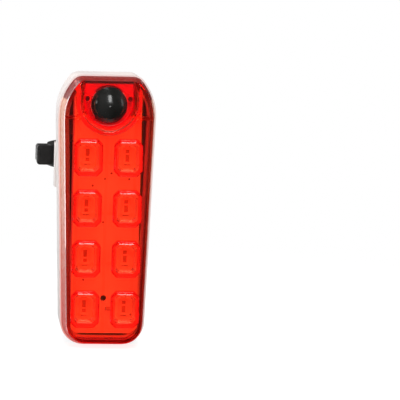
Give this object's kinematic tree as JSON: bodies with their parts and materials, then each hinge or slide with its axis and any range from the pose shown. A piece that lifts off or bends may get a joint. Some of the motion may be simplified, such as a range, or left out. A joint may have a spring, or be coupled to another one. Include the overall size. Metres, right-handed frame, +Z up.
{
  "type": "bicycle tail light",
  "caption": "Upright tail light with a red lens over raised LED windows, a dome button, a white rear shell and a hinged seatpost clamp.",
  "frame": {"origin": "centre of the seatpost clamp's bore", "axes": "+Z up along the bore, -Y towards the red lens that faces the viewer behind the bicycle, +X to the right seen from the lens side"},
  "size_m": [0.0402, 0.0707, 0.091],
  "materials": {
    "red_lens": "clear red, glossy front and frosted sides",
    "black_button": "glossy",
    "white_shell": "satin",
    "white_board": "satin solder mask",
    "led_body": "satin",
    "led_metal": "satin",
    "switch_body": "satin",
    "chip_body": "matt",
    "black_tray": "matt",
    "cell_sleeve": "printed sleeve, plain",
    "seal_rubber": "matt",
    "pad_rubber": "matt",
    "black_clamp": "satin, moulded",
    "black_screw": "black oxide",
    "plated_steel": "zinc plated"
  },
  "bodies": {
    "bracket": {"clamp_front": "black_clamp", "clamp_front_pad": "pad_rubber", "clamp_hinge_pin": "plated_steel", "clamp_nut": "plated_steel"},
    "clamp_rear": {"clamp_rear": "black_clamp", "clamp_rear_pad": "pad_rubber"},
    "clamp_screw": {"clamp_screw": "plated_steel", "clamp_washer": "plated_steel"},
    "lamp": {"rear_shell": "white_shell", "lens_seal": "seal_rubber", "battery_tray": "black_tray", "cell_left": "cell_sleeve", "cell_right": "cell_sleeve", "contact_spring_left": "plated_steel", "contact_spring_right": "plated_steel", "bridge_contact": "plated_steel", "positive_contact": "plated_steel", "negative_contact": "plated_steel"},
    "cover": {"lens": "red_lens", "led_board": "white_board", "board_screws": "black_screw", "led_left_1": "led_body", "led_left_2": "led_body", "led_left_3": "led_body", "led_left_4": "led_body", "led_right_1": "led_body", "led_right_2": "led_body", "led_right_3": "led_body", "led_right_4": "led_body", "led_pads": "led_metal", "tact_switch": "switch_body", "controller_chip": "chip_body", "resistors": "chip_body"},
    "button": {"button_dome": "black_button", "switch_plunger": "switch_body"}
  },
  "joints": [
    {"name": "lamp_slide", "type": "slide", "parent": "bracket", "child": "lamp", "axis": [0, 0, 1], "range_m": [0, 0.0165]},
    {"name": "lens_off", "type": "slide", "parent": "lamp", "child": "cover", "axis": [0, -1, 0], "range_m": [0, 0.022]},
    {"name": "button_press", "type": "slide", "parent": "cover", "child": "button", "axis": [0, 1, 0], "range_m": [0, 0.0004], "stiffness_N_per_m": 3000, "springref_m": -0.0001},
    {"name": "clamp_swing", "type": "hinge", "parent": "bracket", "child": "clamp_rear", "pos_m": [0.0167, 0, 0], "axis": [0, 0, -1], "range_deg": [0, 110]},
    {"name": "clamp_screw_turn", "type": "hinge", "parent": "clamp_rear", "child": "clamp_screw", "pos_m": [-0.0178, 0, 0], "axis": [0, 1, 0], "continuous": true}
  ]
}
